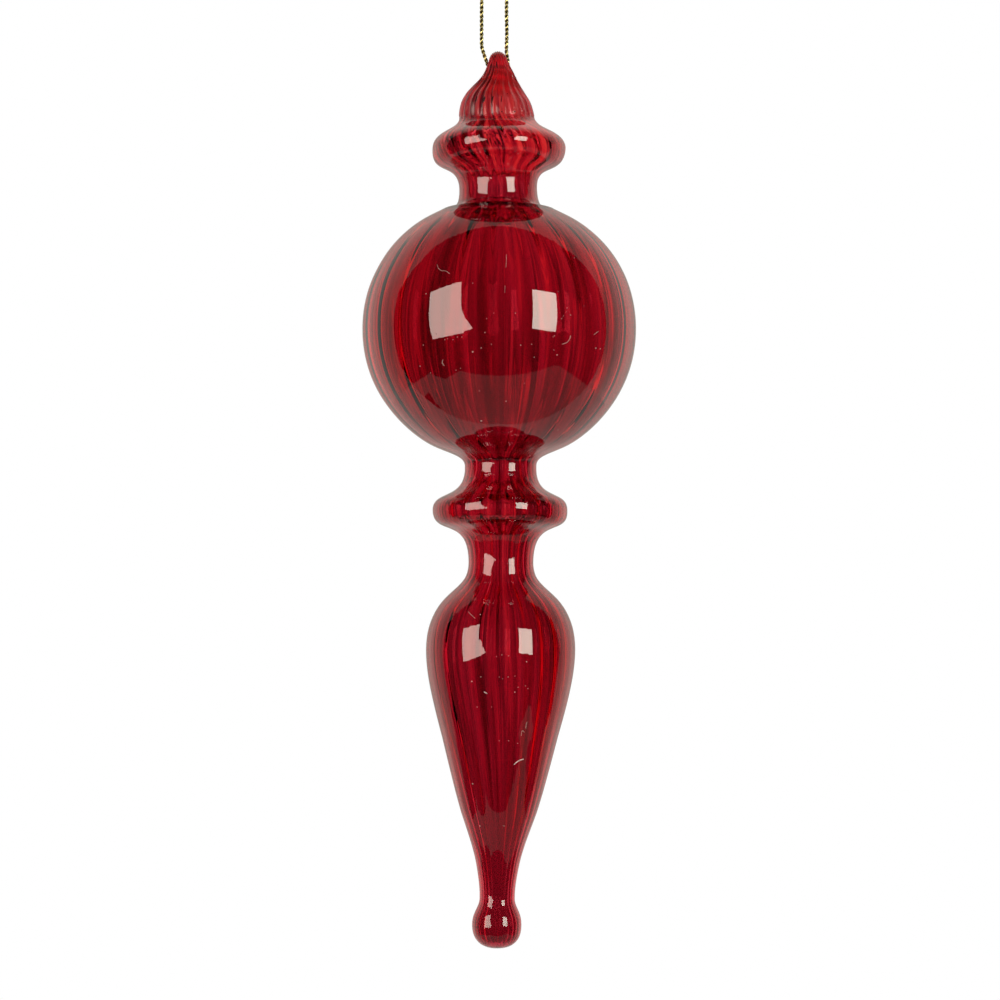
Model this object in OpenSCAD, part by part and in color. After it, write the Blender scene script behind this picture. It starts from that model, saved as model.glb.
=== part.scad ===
// A blown-glass Christmas bauble on a loop of gold cord. It hangs along Z, with +Z up and the
// origin where its loop goes over a peg. The glass is one sealed piece: a drawn eye, a bell, a ball
// between two rings, and a long spindle that ends in a drop. Its wall has ribs on the inside.

/* [Glass, top] */
// Thickness of the glass rod that makes the eye
eye_rod = 3.6; // [2.8:0.1:4.6]
// Width of the hole in the eye
eye_hole_d = 2.4; // [2:0.1:3.2]
// Width of the eye's foot, seen from the front
eye_foot_w = 8.8; // [7:0.2:10]
// Width of the bell at its foot
bell_d = 16.8; // [15:0.2:20]
// Height of the bell, below the eye's hole
bell_h = 8.6; // [7.5:0.1:12]
// Width of the upper ring
upper_ring_d = 29.8; // [24:0.2:36]
// Height of the upper ring's top half
upper_ring_top = 7.3; // [6:0.1:10]
// Height of the upper ring's lower half, with half of the neck below it
upper_ring_low = 9.1; // [8:0.1:12]
// Width of the neck between the upper ring and the ball
upper_neck_d = 17.4; // [14:0.2:20]

/* [Glass, ball] */
// Width of the ball
ball_d = 61; // [50:1:76]
// Height of the ball's top half, up to the neck
ball_top = 31; // [27:0.5:38]
// Height of the ball's lower half, down to the neck
ball_low = 30.6; // [27:0.2:38]
// Width of the neck between the ball and the lower ring
ball_neck_d = 15.8; // [13:0.2:18]

/* [Glass, foot] */
// Width of the lower ring
lower_ring_d = 30; // [24:0.2:36]
// Height of the lower ring's top half, with half of the neck above it
lower_ring_top = 9.8; // [8.4:0.2:12]
// Height of the lower ring's lower half, with half of the neck below it
lower_ring_low = 11.6; // [10:0.2:14]
// Width of the neck between the lower ring and the spindle
lower_neck_d = 14.4; // [12:0.2:16]
// Width of the spindle
spindle_d = 33.2; // [26:0.2:40]
// Height of the spindle's shoulder
spindle_top = 19.4; // [15:0.2:25]
// Length of the spindle's taper
spindle_low = 55.4; // [44:0.2:70]
// Width of the stem above the drop
stem_d = 7.7; // [6.8:0.1:9]
// Width of the drop
drop_d = 11; // [9:0.1:13]
// Height of the drop's top half
drop_top = 6.1; // [5:0.1:8]
// Height of the drop's lower half
drop_low = 5.1; // [4.5:0.1:7]

/* [Wall and ribs] */
// Thickness of the wall between the ribs
wall = 1.1; // [0.8:0.1:1.6]
// Thickness of solid glass between the eye's hole and the hollow
crown_wall = 3.5; // [2.5:0.1:4.5]
// Number of ribs around the inside
ribs = 24; // [12:1:28]
// Height of a rib
rib_h = 0.5; // [0.2:0.05:0.7]
// Turn of the ribs across the upper ring, in degrees
ring_twist = 24; // [0:1:40]
// Turn of the ribs down the spindle, in degrees
spindle_twist = 12; // [0:1:30]

/* [Cord] */
// Thickness of the cord
cord_d = 0.8; // [0.5:0.1:0.8]
// Width of the knot
knot_d = 2.6; // [2.4:0.1:4]
// Height of the knot
knot_h = 2.7; // [2:0.1:4]
// Length of each free end above the knot
tail_l = 3.4; // [2:0.1:8]
// Lean of each free end from upright, in degrees
tail_lean = 18; // [10:1:35]

/* [Hidden] */

// The eye's top is this far below the point where the loop hangs, which the cord's route fits.
loop_drop = 42;
// The glass is laid out in depths below the top of its eye.
eye_hole_z = eye_rod + eye_hole_d / 2;
// The bell's top laps the underside of the eye's hole a little, so the eye is rooted in it.
eye_lap = 0.3;
bell_top_z = eye_rod + eye_hole_d - eye_lap;
bell_foot_z = eye_rod + eye_hole_d + bell_h;
upper_ring_z = bell_foot_z + upper_ring_top;
upper_neck_z = upper_ring_z + upper_ring_low;
ball_z = upper_neck_z + ball_top;
ball_neck_z = ball_z + ball_low;
lower_ring_z = ball_neck_z + lower_ring_top;
lower_neck_z = lower_ring_z + lower_ring_low;
spindle_z = lower_neck_z + spindle_top;
stem_z = spindle_z + spindle_low;
drop_z = stem_z + drop_top;
glass_h = drop_z + drop_low;

// Where the ball's round side gives way to the hollow curve of each neck: how far the neck's curve
// comes out, how far it goes down, and its slope there.
top_shoulder_out = 4.1;
top_shoulder_h = 4.5;
top_shoulder_slope = 54;
low_shoulder_out = 7.1;
low_shoulder_h = 4.6;
low_shoulder_slope = 63;
// Slope of the drop's underside at its point
drop_point_slope = 76;

// Turning points of the outline from the top down: depth, radius, slope outwards from upright, and
// how long the curve keeps that slope above and below, as a share of the way to the next point.
outline = [
    [bell_top_z, 0, 90, 0, 0.58],
    [bell_foot_z, bell_d / 2, 0, 0.04, 0.36],
    [upper_ring_z, upper_ring_d / 2, 0, 0.45, 0.58],
    [upper_neck_z, upper_neck_d / 2, 0, 0.58, 0.85],
    [upper_neck_z + top_shoulder_h, upper_neck_d / 2 + top_shoulder_out, top_shoulder_slope, 0.21, 0.04],
    [ball_z, ball_d / 2, 0, 0.62, 0.55],
    [ball_neck_z - low_shoulder_h, ball_neck_d / 2 + low_shoulder_out, -low_shoulder_slope, 0.1, 0.51],
    [ball_neck_z, ball_neck_d / 2, 0, 0.28, 0.65],
    [lower_ring_z, lower_ring_d / 2, 0, 0.39, 0.45],
    [lower_neck_z, lower_neck_d / 2, 0, 0.75, 0.34],
    [spindle_z, spindle_d / 2, 0, 0.59, 0.24],
    [stem_z, stem_d / 2, 0, 0.18, 0.35],
    [drop_z, drop_d / 2, 0, 0.5, 0.74],
    [glass_h, 0, -drop_point_slope, 0.04, 0]
];
spans = len(outline) - 1;
// Spans of the outline that have turning ribs: the upper ring's two halves, and the spindle's taper
ring_span = 1;
spindle_span = 10;

// One span of the outline as a smooth curve, with t from 0 to 1: its point and its direction
function handle(row, share, way) =
    [row[1], row[0]] + way * share * [sin(row[2]), cos(row[2])];
function span_ends(i) =
    let (a = outline[i], b = outline[i + 1], chord = norm([b[0] - a[0], b[1] - a[1]]))
    [[a[1], a[0]], handle(a, a[4], chord), handle(b, b[3], -chord), [b[1], b[0]]];
function span_point(i, t) =
    let (p = span_ends(i), u = 1 - t)
    u * u * u * p[0] + 3 * u * u * t * p[1] + 3 * u * t * t * p[2] + t * t * t * p[3];
function span_way(i, t) =
    let (
        p = span_ends(i), u = 1 - t,
        d = u * u * (p[1] - p[0]) + 2 * u * t * (p[2] - p[1]) + t * t * (p[3] - p[2])
    )
    d / norm(d);

// Points along the outside, closest together where the form is small
outside_steps = 9;
outside = [
    for (i = [0 : spans - 1], k = [0 : outside_steps - 1]) span_point(i, k / outside_steps),
    span_point(spans - 1, 1)
];

// Rings of the hollow: about one for each step of height, five or more in a tall span and three in a
// short one. The hollow starts and ends part of the way along its first and last spans.
hollow_step = 4.4;
tall_span = 6.5;
tall_steps = 5;
short_steps = 3;
crown_start = 0.62;
point_end = 0.75;
function span_h(i) = outline[i + 1][0] - outline[i][0];
function span_steps(i) =
    span_h(i) < tall_span ? short_steps : max(tall_steps, round(span_h(i) / hollow_step));
function first_t(i) = i == 0 ? crown_start : 0;
function last_t(i) = i == spans - 1 ? point_end : 1;
stations = [
    for (i = [0 : spans - 1], k = [0 : span_steps(i) - (i == spans - 1 ? 0 : 1)])
        [i, first_t(i) + (last_t(i) - first_t(i)) * k / span_steps(i)]
];
// Turn of the ribs at a station
function turn_at(i, t) =
    i < ring_span ? 0
    : i < ring_span + 2 ? ring_twist * (i - ring_span + t) / 2
    : i < spindle_span ? ring_twist
    : i == spindle_span ? ring_twist + spindle_twist * t
    : ring_twist + spindle_twist;
// Each rib is a crest between two points at the wall's own thickness.
rib_points = 3;
around = ribs * rib_points;
// The ribs are lower where the glass is drawn out thin.
rib_full_r = 9;
function rib_at(j, r) = j % rib_points == 0 ? rib_h * min(1, r / rib_full_r) : 0;
function hollow_ring(s) =
    let (p = span_point(s[0], s[1]), d = span_way(s[0], s[1]), turn = turn_at(s[0], s[1]))
    [
        for (j = [0 : around - 1])
            let (w = wall + rib_at(j, p[0]), r = p[0] - w * d[1], a = turn + j * 360 / around)
            [r * cos(a), r * sin(a), -(p[1] + w * d[0])]
    ];
// The hollow's top closes in a low dome, and its foot in the drop's point, where the glass is thicker.
crown_z = bell_top_z + crown_wall;
crown_share = 0.55;
crown_rise = 0.3;
first_ring = hollow_ring(stations[0]);
dome_ring = [
    for (p = first_ring)
        [p[0] * crown_share, p[1] * crown_share, -crown_z + (p[2] + crown_z) * crown_rise]
];
point_walls = 1.3;
hollow_foot_z = glass_h - wall * point_walls;
hollow_rings = concat([dome_ring], [for (s = stations) hollow_ring(s)]);

// A closed skin over rings of equal count, with a point at each end
module skin_to_points(rings, top, foot) {
    n = len(rings[0]);
    m = len(rings);
    points = concat([top], [for (ring = rings, p = ring) p], [foot]);
    last = len(points) - 1;
    polyhedron(points, concat(
        [for (j = [0 : n - 1]) [0, 1 + (j + 1) % n, 1 + j]],
        [for (i = [0 : m - 2], j = [0 : n - 1]) each [
            [1 + i * n + j, 1 + i * n + (j + 1) % n, 1 + (i + 1) * n + (j + 1) % n],
            [1 + i * n + j, 1 + (i + 1) * n + (j + 1) % n, 1 + (i + 1) * n + j]
        ]],
        [for (j = [0 : n - 1]) [last, 1 + (m - 1) * n + j, 1 + (m - 1) * n + (j + 1) % n]]
    ));
}

// A closed skin over rings of equal count, with a flat face at each end
module skin(rings) {
    n = len(rings[0]);
    m = len(rings);
    polyhedron([for (ring = rings, p = ring) p], concat(
        [[for (j = [0 : n - 1]) j]],
        [for (i = [0 : m - 2], j = [0 : n - 1]) each [
            [i * n + j, (i + 1) * n + j, (i + 1) * n + (j + 1) % n],
            [i * n + j, (i + 1) * n + (j + 1) % n, i * n + (j + 1) % n]
        ]],
        [[for (j = [n - 1 : -1 : 0]) (m - 1) * n + j]]
    ));
}

// The eye is a glass rod drawn up from the bell's front, curled back over and down again. Its foot is
// wide and a little thicker, narrows along a flaring curve, and its end is a plain rod.
eye_r = (eye_rod + eye_hole_d) / 2;
eye_hole_y = 1.9;
eye_sides = 16;
eye_end_w = 3.6;
eye_foot_t = 0.4;
eye_flare = 1.5;
eye_root = 1.3;
eye_turn = 270;
eye_turns = 14;
foot_length = eye_root * 2 + eye_r * PI / 2;
// Each station of the rod: y, depth, direction of its thickness in degrees, and length from the foot
eye_stations = concat(
    [for (k = [0 : 1]) [eye_hole_y - eye_r, eye_hole_z + eye_root * (2 - k), 180, eye_root * k]],
    [for (k = [0 : eye_turns])
        let (a = 180 - eye_turn * k / eye_turns)
        [eye_hole_y + eye_r * cos(a), eye_hole_z - eye_r * sin(a), a,
            eye_root * 2 + eye_r * (180 - a) * PI / 180]]
);
function eye_ring(s) =
    let (
        foot = pow(max(0, 1 - s[3] / foot_length), eye_flare),
        half_w = eye_end_w / 2 + foot * (eye_foot_w - eye_end_w) / 2,
        half_t = eye_rod / 2 + foot * eye_foot_t
    )
    [
        for (j = [0 : eye_sides - 1])
            let (a = j * 360 / eye_sides, t = half_t * cos(a))
            [half_w * sin(a), s[0] + t * cos(s[2]), -(s[1] - t * sin(s[2]))]
    ];

module glass_body() {
    color([0.6, 0.02, 0.06, 0.8])
        translate([0, 0, -loop_drop])
        difference() {
            union() {
                rotate_extrude($fn = 240) polygon([for (p = outside) [p[0], -p[1]]]);
                skin([for (s = eye_stations) eye_ring(s)]);
            }
            skin_to_points(hollow_rings, [0, 0, -crown_z], [0, 0, -hollow_foot_z]);
        }
}

// The cord's route from the knot down the left, through the eye and up the right
cord_route = [
    [-0.5, 0, 6], [-0.8, 0, 4.6], [-1.6, 0, 3.1], [-2.4, 0, 1.6], [-2.8, 0, 0], [-2.9, 0, -3],
    [-3, 0.2, -8], [-3.2, 0.6, -16], [-3.4, 1, -24], [-3.5, 1.4, -32], [-3.5, 1.7, -38],
    [-3.5, 1.8, -41], [-3.3, 1.9, -42.6], [-2.8, 1.9, -44.2], [-2.2, 1.9, -45.4],
    [-1.2, 1.9, -46.1], [0, 1.9, -46.3], [1.3, 1.9, -46.1], [2.3, 1.9, -45.3], [2.6, 1.9, -44],
    [2.4, 1.9, -42.6], [2.2, 1.8, -41], [2.1, 1.7, -38], [2.2, 1.4, -32], [2.4, 1, -24],
    [2.6, 0.6, -16], [2.8, 0.2, -8], [2.8, 0, -3], [2.8, 0, 0], [2.4, 0, 1.6], [1.6, 0, 3.1],
    [0.8, 0, 4.6], [0.5, 0, 6]
];
cord_sides = 8;
cord_steps = 2;
route_last = len(cord_route) - 1;
// A smooth curve through the route's points
function route_point(i, t) =
    let (
        a = cord_route[max(0, i - 1)], b = cord_route[i],
        c = cord_route[i + 1], d = cord_route[min(route_last, i + 2)]
    )
    (2 * b + t * (c - a) + t * t * (2 * a - 5 * b + 4 * c - d) + t * t * t * (3 * b - a - 3 * c + d)) / 2;
cord_line = [
    for (i = [0 : route_last - 1], k = [0 : cord_steps - 1]) route_point(i, k / cord_steps),
    cord_route[route_last]
];
function unit(v) = v / norm(v);
function cord_way(i) =
    i == 0 || i == len(cord_line) - 1 ? [0, 0, i == 0 ? -1 : 1]
    : unit(cord_line[i + 1] - cord_line[i - 1]);
function cord_ring(i) =
    let (way = cord_way(i), side = unit(cross([0, 1, 0], way)), front = cross(way, side))
    [
        for (j = [0 : cord_sides - 1])
            let (a = (j + 0.5) * 360 / cord_sides)
            cord_line[i] + cord_d / 2 * (cos(a) * side + sin(a) * front)
    ];

module hanging_cord() {
    color("goldenrod") skin([for (i = [0 : len(cord_line) - 1]) cord_ring(i)]);
}

// The knot's flat underside meets both ends of the loop. Its three turns stand out around its core,
// and the two free ends leave its top.
knot_z = cord_route[0][2];
knot_turns = 3;
knot_turn_gap = 0.02;
knot_core_d = 2;
tail_side = 0.5;
module cord_knot() {
    turn_h = knot_h / knot_turns;
    color("goldenrod")
        translate([0, 0, knot_z])
        union() {
            cylinder(d = knot_core_d, h = knot_h, $fn = 48);
            for (k = [0 : knot_turns - 1])
                translate([0, 0, turn_h * (k + 0.5)])
                rotate_extrude($fn = 48)
                translate([(knot_d - turn_h) / 2, 0])
                circle(d = turn_h - knot_turn_gap, $fn = 32);
            for (side = [-1, 1])
                translate([side * tail_side, 0, knot_h - cord_d])
                rotate([0, side * tail_lean, 0])
                cylinder(d = cord_d, h = tail_l + cord_d, $fn = 24);
        }
}

glass_body();
hanging_cord();
cord_knot();
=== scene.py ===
"""Looks of a hanging red glass finial bauble on a gold cord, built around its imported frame."""

import math

import bpy
import numpy as np
from mathutils.bvhtree import BVHTree
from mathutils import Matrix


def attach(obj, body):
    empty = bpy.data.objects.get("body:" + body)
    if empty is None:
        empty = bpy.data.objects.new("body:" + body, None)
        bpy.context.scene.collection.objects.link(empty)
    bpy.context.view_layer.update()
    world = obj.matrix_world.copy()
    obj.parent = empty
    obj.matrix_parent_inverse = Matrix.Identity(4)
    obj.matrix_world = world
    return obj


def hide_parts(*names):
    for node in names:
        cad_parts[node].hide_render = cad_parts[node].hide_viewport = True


MM = 0.001
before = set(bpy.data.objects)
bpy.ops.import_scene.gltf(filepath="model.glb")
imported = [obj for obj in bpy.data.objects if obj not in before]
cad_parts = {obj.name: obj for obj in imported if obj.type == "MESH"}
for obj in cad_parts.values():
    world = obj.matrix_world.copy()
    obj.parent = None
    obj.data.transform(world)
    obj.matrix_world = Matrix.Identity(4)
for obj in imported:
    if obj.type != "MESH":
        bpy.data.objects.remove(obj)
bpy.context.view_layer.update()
chance = np.random.default_rng(24)


# Camera: level with the middle of the picture, as far off as a studio camera stands.
def make_camera():
    data = bpy.data.cameras.new("studio_camera")
    camera = bpy.data.objects.new("studio_camera", data)
    scene.collection.objects.link(camera)
    distance, picture_width = 0.8, 0.2227
    camera.location = (0.00018, -distance, -0.1422)
    camera.rotation_euler = (math.pi / 2, 0, 0)
    data.sensor_width = 36
    data.lens = data.sensor_width * distance / picture_width
    data.clip_start, data.clip_end = 0.01, 20
    scene.camera = camera


scene = bpy.context.scene
scene.view_settings.view_transform = "Standard"
make_camera()


# Small helpers for mesh code
def new_object(name, points, faces, materials, smooth=True, face_material=None):
    """A mesh object, with the number of its material for each face where there are several"""
    mesh = bpy.data.meshes.new(name)
    mesh.from_pydata([tuple(p) for p in points], [], faces)
    for material in materials:
        mesh.materials.append(material)
    mesh.polygons.foreach_set("use_smooth", np.full(len(mesh.polygons), smooth))
    if face_material is not None:
        mesh.polygons.foreach_set("material_index", np.asarray(face_material, dtype=np.int32))
    mesh.update()
    obj = bpy.data.objects.new(name, mesh)
    scene.collection.objects.link(obj)
    return obj


def grid_faces(start, rows, around, flip=False):
    """Quads between rows of points, each row a closed ring"""
    faces = []
    for i in range(rows - 1):
        a, b = start + i * around, start + (i + 1) * around
        for j in range(around):
            k = (j + 1) % around
            quad = (a + j, b + j, b + k, a + k)
            faces.append(quad[::-1] if flip else quad)
    return faces


def fan_faces(tip, start, around, flip=False):
    """Triangles from one point to a closed ring of points"""
    faces = []
    for j in range(around):
        tri = (tip, start + j, start + (j + 1) % around)
        faces.append(tri[::-1] if flip else tri)
    return faces


def unit(v):
    v = np.asarray(v, dtype=float)
    return v / np.maximum(np.linalg.norm(v, axis=-1, keepdims=True), 1e-12)


def curve_through(points, per):
    """A smooth line through rows of numbers, with per steps between neighbours"""
    p = np.asarray(points, dtype=float)
    p = np.vstack([p[:1], p, p[-1:]])
    t = np.linspace(0, 1, per, endpoint=False)[:, None]
    parts = []
    for i in range(1, len(p) - 2):
        a, b, c, d = p[i - 1], p[i], p[i + 1], p[i + 2]
        parts.append(
            (2 * b + t * (c - a) + t * t * (2 * a - 5 * b + 4 * c - d)
             + t ** 3 * (3 * b - a - 3 * c + d)) / 2
        )
    return np.vstack(parts + [p[-1:]])


def resampled(line, step):
    """The same line with its points an even step apart"""
    gaps = np.linalg.norm(np.diff(line, axis=0), axis=1)
    way = np.concatenate([[0], np.cumsum(gaps)])
    count = max(2, int(round(way[-1] / step)) + 1)
    at = np.linspace(0, way[-1], count)
    return np.stack([np.interp(at, way, line[:, k]) for k in range(3)], axis=1)


# Shader helper: makes nodes and links with few words.
class Shader:
    def __init__(self, tree):
        self.tree = tree
        tree.nodes.clear()

    def node(self, kind, inputs=None, **settings):
        made = self.tree.nodes.new(kind)
        for name, value in settings.items():
            setattr(made, name, value)
        for name, value in (inputs or {}).items():
            if isinstance(value, bpy.types.NodeSocket):
                self.tree.links.new(value, made.inputs[name])
            else:
                made.inputs[name].default_value = value
        return made

    def math(self, operation, a, b=None, c=None, clamp=False):
        inputs = {i: value for i, value in enumerate((a, b, c)) if value is not None}
        return self.node("ShaderNodeMath", inputs, operation=operation, use_clamp=clamp).outputs[0]

    def ramp(self, value, low, high, to_low=0.0, to_high=1.0, smooth=False):
        made = self.node(
            "ShaderNodeMapRange",
            {"Value": value, "From Min": low, "From Max": high, "To Min": to_low, "To Max": to_high},
            interpolation_type="SMOOTHSTEP" if smooth else "LINEAR",
        )
        return made.outputs[0]

    def mix(self, factor, a, b, blend="MIX"):
        made = self.node("ShaderNodeMix", {0: factor, 6: a, 7: b}, data_type="RGBA", blend_type=blend)
        return made.outputs[2]

    def noise(self, place, scale, detail, rough=0.5):
        inputs = {"Vector": place, "Scale": scale, "Detail": detail, "Roughness": rough}
        return self.node("ShaderNodeTexNoise", inputs).outputs["Fac"]

    def attribute(self, name, output):
        return self.node("ShaderNodeAttribute", attribute_name=name).outputs[output]

    def parts(self, vector):
        """Its x, y and z"""
        return self.node("ShaderNodeSeparateXYZ", {"Vector": vector}).outputs

    def backdrop_edge(self, x):
        """How far back the white backdrop begins at x, which is a little farther on the right"""
        share = self.math("MULTIPLY_ADD", self.math("GREATER_THAN", x, 0.0), 0.05, 0.17)
        return self.math("MULTIPLY", self.math("ABSOLUTE", x), share)


def new_material(name):
    material = bpy.data.materials.new(name)
    material.use_nodes = True
    return material, Shader(material.node_tree)


# Sizes in millimetres. A depth runs down from the top of the glass eye, which lies HANG_TO_TOP
# below the frame's origin.
HANG_TO_TOP = 42.0
BELL_FOOT, UPPER_RING, UPPER_NECK, BALL, BALL_NECK = 14.6, 21.9, 31.0, 62.0, 92.6
LOWER_RING, LOWER_NECK, SPINDLE, STEM, DROP, GLASS_H = 102.4, 114.0, 133.4, 188.8, 194.9, 200.0
# The ribs inside: how many, their height, the outer radius from which they have it all, and their
# turn in degrees round the upper ring and down the spindle
RIBS, RIB_H, RIB_FULL_R = 24, 0.45, 9.0
RING_TWIST, SPINDLE_TWIST = 24.0, 12.0
# The depth of the hollow's top, and the glass left under its lower end
HOLLOW_TOP, TIP_WALL = 9.2, 1.43
# Shoulders of the ball: how much wider and farther on than the neck, and their slant
TOP_SHOULDER, LOW_SHOULDER = (4.1, 4.5, 54), (7.1, 4.6, 63)
# The turned outline: depth, radius, slant in degrees off straight down, and how far the curve's
# handles reach above and below the row, as a share of the span
OUTLINE = [
    (5.7, 0, 90, 0, 0.58),
    (BELL_FOOT, 8.4, 0, 0.04, 0.36),
    (UPPER_RING, 14.9, 0, 0.45, 0.58),
    (UPPER_NECK, 8.7, 0, 0.58, 0.85),
    (UPPER_NECK + TOP_SHOULDER[1], 8.7 + TOP_SHOULDER[0], TOP_SHOULDER[2], 0.21, 0.04),
    (BALL, 30.5, 0, 0.62, 0.55),
    (BALL_NECK - LOW_SHOULDER[1], 7.9 + LOW_SHOULDER[0], -LOW_SHOULDER[2], 0.1, 0.51),
    (BALL_NECK, 7.9, 0, 0.28, 0.65),
    (LOWER_RING, 15.0, 0, 0.39, 0.45),
    (LOWER_NECK, 7.2, 0, 0.75, 0.34),
    (SPINDLE, 16.6, 0, 0.59, 0.24),
    (STEM, 3.85, 0, 0.18, 0.35),
    (DROP, 5.5, 0, 0.5, 0.74),
    (GLASS_H, 0, -76, 0.04, 0),
]
# How far the drawn glass leans off its axis, as the photo shows it: depth and offset to the right
LEAN = np.array([
    (0, -0.4), (5.7, 0), (7.8, -0.56), (9.5, -0.86), (14.6, -0.6), (18.4, -0.1), (21.9, 0),
    (27, -0.42), (31, -0.22), (47, 0.05), (56, 0), (75, 0), (88, 0.12), (92.6, 0.34), (102.4, 0.15),
    (107, 0.42), (119, 0.35), (146, 0.24), (171, -0.06), (185, -0.37), (194.9, -0.55), (200, -0.45),
])
# Where the real outside is a little fuller or leaner than the outline: depth and change of radius
FULLER = np.array([
    (14.8, 0), (18.4, -0.26), (21.4, 0), (33.2, 0), (35.5, -0.42), (37.8, 0), (48, -0.2),
    (60, -0.03), (80, 0.05), (88.5, 0.27), (93.5, 0.04), (98.5, -0.12), (101.6, 0.03), (107.6, 0.1),
    (116, 0), (117.6, -0.16), (121.6, 0.22), (126, 0), (140, 0.15), (153, 0.03), (165.5, 0.42),
    (169.7, 0.43), (176.8, -0.08), (180, -0.18), (188.7, 0.1), (199, 0),
])
# How much higher the rings and necks lie on the front than at the sides: depth and rise
RAISED = np.array([
    (15.5, 0), (19, 0.5), (22, 0.95), (24, 1.3), (28, 1.3), (31, 1.6), (33, 1.5), (35, 0.7),
    (38, 0.1), (41, 0), (86, 0), (90, 0.3), (92.4, 0.8), (95.5, 1.5), (98, 1.3), (101, 0.8),
    (104, 0.6), (107, 0.7), (110, 1.1), (113, 1.0), (117, -0.2), (122, -0.2), (127, 0),
])


def eased(table, step=0.25, softness=0.7, reach=10, margin=16):
    """A table in fine steps of depth, with its corners rounded off. The outermost steps are left
    out, because the rounding has nothing beyond them to go by."""
    depth = np.arange(-8, 210, step)
    kernel = np.exp(-0.5 * (np.arange(-reach, reach + 1) * step / softness) ** 2)
    value = np.convolve(np.interp(depth, table[:, 0], table[:, 1]), kernel / kernel.sum(), "same")
    return depth[margin:-margin], value[margin:-margin]


LEAN, FULLER, RAISED = eased(LEAN), eased(FULLER), eased(RAISED)


def lean_at(depth):
    return np.interp(depth, *LEAN)


def span(i, t):
    """Points and directions (radius, depth) along one span of the outline"""
    a, b = OUTLINE[i], OUTLINE[i + 1]
    chord = math.hypot(b[0] - a[0], b[1] - a[1])
    p0, p3 = np.array([a[1], a[0]]), np.array([b[1], b[0]])
    sa, sb = math.radians(a[2]), math.radians(b[2])
    p1 = p0 + chord * a[4] * np.array([math.sin(sa), math.cos(sa)])
    p2 = p3 - chord * b[3] * np.array([math.sin(sb), math.cos(sb)])
    t = np.asarray(t, dtype=float)[:, None]
    u = 1 - t
    point = u ** 3 * p0 + 3 * u * u * t * p1 + 3 * u * t * t * p2 + t ** 3 * p3
    way = u * u * (p1 - p0) + 2 * u * t * (p2 - p1) + t * t * (p3 - p2)
    return point, unit(way)


def stations(first, last, t0, t1, turn, finest, widest):
    """Points and directions down the outline, closest together where it bends most"""
    rows = []
    for i in range(first, last + 1):
        lo, hi = (t0 if i == first else 0.0), (t1 if i == last else 1.0)
        t = np.linspace(lo, hi, 801)
        point, way = span(i, t)
        gap = np.linalg.norm(np.diff(point, axis=0), axis=1)
        bend = np.arccos(np.clip((way[1:] * way[:-1]).sum(axis=1), -1, 1))
        step = np.clip(turn * gap / np.maximum(bend, 1e-9), finest, widest)
        run = np.concatenate([[0], np.cumsum(gap / step)])
        count = max(3, int(math.ceil(run[-1])))
        at = np.interp(np.linspace(0, run[-1], count + 1), run, t)
        point, way = span(i, at)
        keep = slice(0, count if i < last else count + 1)
        rows += zip(point[keep], way[keep])
    return rows


def turn_at(depth):
    """Turn of the ribs in degrees: round the upper ring, and down the spindle"""
    ring = np.clip((depth - BELL_FOOT) / (UPPER_NECK - BELL_FOOT), 0, 1)
    taper = np.clip((depth - SPINDLE) / (STEM - SPINDLE), 0, 1)
    return RING_TWIST * ring + SPINDLE_TWIST * taper


# Blown glass isn't even: depth, thickness of the wall, and how much thicker it is to the right
WALLS = np.array([
    (0, 1.1, 0), (16, 1.05, 0), (22, 1.15, -0.3), (31, 1.15, 0), (44, 1.5, -0.3), (62, 1.6, -0.35),
    (80, 1.5, -0.25), (92, 1.2, 0), (102, 1.1, 0.1), (114, 1.2, 0), (133, 1.2, 0.22),
    (165, 1.2, 0.2), (185, 1.15, 0), (200, 1.1, 0),
])


def to_frame(x, y, depth):
    return np.stack([x, y, -(HANG_TO_TOP + depth)], axis=-1) * MM


def as_blown(r, angle, depth):
    """Points of the turned form, moved to where the real glass has them"""
    front = np.clip(-np.sin(angle), 0, 1) ** 2
    x, y = lean_at(depth) + r * np.cos(angle), r * np.sin(angle)
    return to_frame(x, y, depth - front * np.interp(depth, *RAISED))


# The eye and the bell's top are one drawn form. Each row gives its front and back edge (y, depth)
# and its half width: the front rises into a rod, the back falls to the roof under the eye's hole.
HOOD = [
    (-8.4, 14.6, 8.4, 14.6, 8.40), (-8.14, 13.05, 8.12, 13.05, 8.13), (-7.45, 11.45, 7.5, 11.3, 7.60),
    (-6.4, 10.0, 6.5, 9.4, 6.62), (-5.5, 8.95, 5.4, 8.1, 5.74), (-4.75, 8.0, 4.3, 7.15, 4.98),
    (-4.15, 7.1, 3.2, 6.5, 4.34), (-3.7, 6.35, 2.2, 6.12, 3.95), (-3.35, 5.65, 1.35, 5.9, 3.62),
    (-3.05, 5.1, 0.88, 5.45, 3.36),
]
EYE_Y, EYE_DEPTH, EYE_OUTER, EYE_INNER = 1.9, 4.8, 4.8, 1.2
EYE_HALF = np.array([
    (180, 3.10), (165, 2.76), (150, 2.44), (135, 2.2), (120, 2.02), (105, 1.93), (90, 1.85),
    (75, 1.65), (60, 1.52), (30, 1.48), (0, 1.6), (-30, 1.85), (-75, 2.25),
])


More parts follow.
